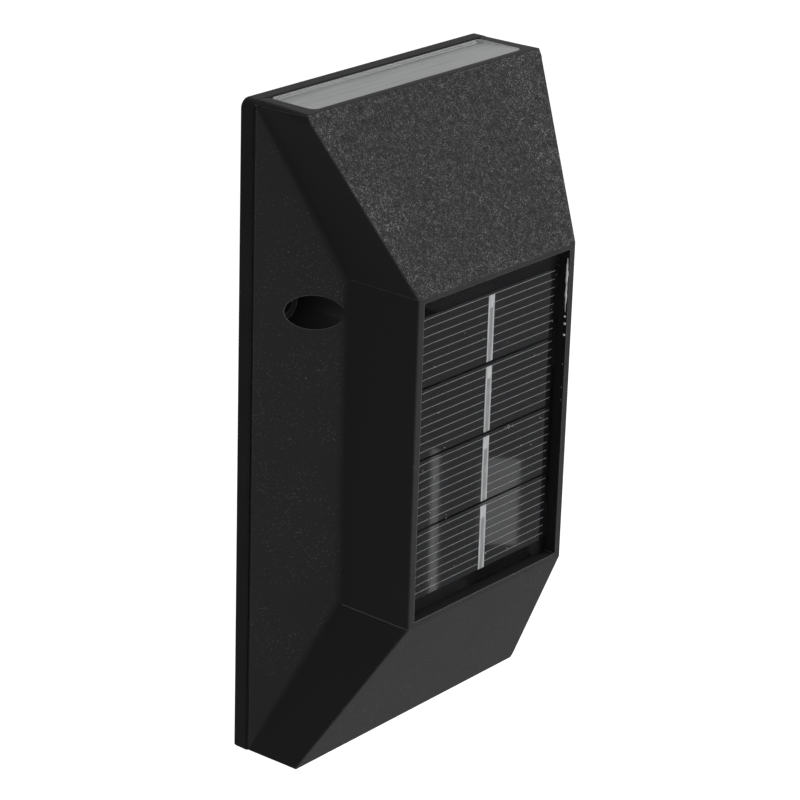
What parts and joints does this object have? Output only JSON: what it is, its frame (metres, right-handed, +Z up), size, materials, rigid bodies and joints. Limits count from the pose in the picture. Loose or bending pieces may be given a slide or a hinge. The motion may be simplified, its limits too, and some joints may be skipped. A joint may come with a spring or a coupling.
{
  "type": "solar fence light",
  "caption": "Wall-fixed solar fence light: waisted moulded housing on a flat back plate, solar panel in front, lens windows above and below, slide switch behind.",
  "frame": {"origin": "centre of the back plate's flat rear face, at mid-height, on the wall plane", "axes": "+Z up, +Y into the wall, -Y out of the solar panel, +X to the right seen from the front"},
  "size_m": [0.0778, 0.0392, 0.15],
  "materials": {
    "textured_black": "spark-eroded grain, weatherproof moulding",
    "satin_black": "satin moulding",
    "seal_rubber": "closed-cell strip",
    "zinc_steel": "zinc plated",
    "frosted_lens": "frosted, fluted inside",
    "white_board": "white solder mask on aluminium",
    "lamp_phosphor": "yellow phosphor",
    "foam_tape": "foam",
    "black_board": "black solder mask",
    "silicon": "polished silicon",
    "tinned_ribbon": "tinned",
    "clear_resin": "poured clear resin, glossy",
    "cell_can": "nickel plated",
    "cell_sleeve": "shrink sleeve",
    "spring_steel": "nickel plated",
    "green_board": "green solder mask",
    "chip_black": "moulded epoxy",
    "ferrite": "ferrite and enamelled winding",
    "can_aluminium": "drawn can",
    "switch_shell": "moulded base",
    "knob_black": "moulded knob",
    "lead_insulation": "insulated wire"
  },
  "bodies": {
    "light": {"front_housing": "textured_black", "back_plate": "satin_black", "rear_gasket": "seal_rubber", "cover_screws": "zinc_steel", "top_lens": "frosted_lens", "bottom_lens": "frosted_lens", "top_lamp_board": "white_board", "bottom_lamp_board": "white_board", "top_lamps": "lamp_phosphor", "bottom_lamps": "lamp_phosphor", "panel_tape": "foam_tape", "panel_board": "black_board", "solar_cells": "silicon", "busbar_ribbons": "tinned_ribbon", "panel_resin": "clear_resin", "battery_cell": "cell_can", "battery_cap": "cell_can", "battery_sleeve": "cell_sleeve", "battery_holder": "satin_black", "holder_screws": "zinc_steel", "battery_contact": "spring_steel", "battery_spring": "spring_steel", "main_board": "green_board", "board_screws": "zinc_steel", "driver_chip": "chip_black", "inductor": "ferrite", "capacitor": "can_aluminium", "switch_body": "switch_shell", "solar_leads": "lead_insulation", "battery_leads": "lead_insulation", "lamp_leads": "lead_insulation"},
    "switch": {"switch_knob": "knob_black"}
  },
  "joints": [
    {"name": "switch_slide", "type": "slide", "parent": "light", "child": "switch", "axis": [0, 0, 1], "range_m": [0, 0.002]}
  ]
}
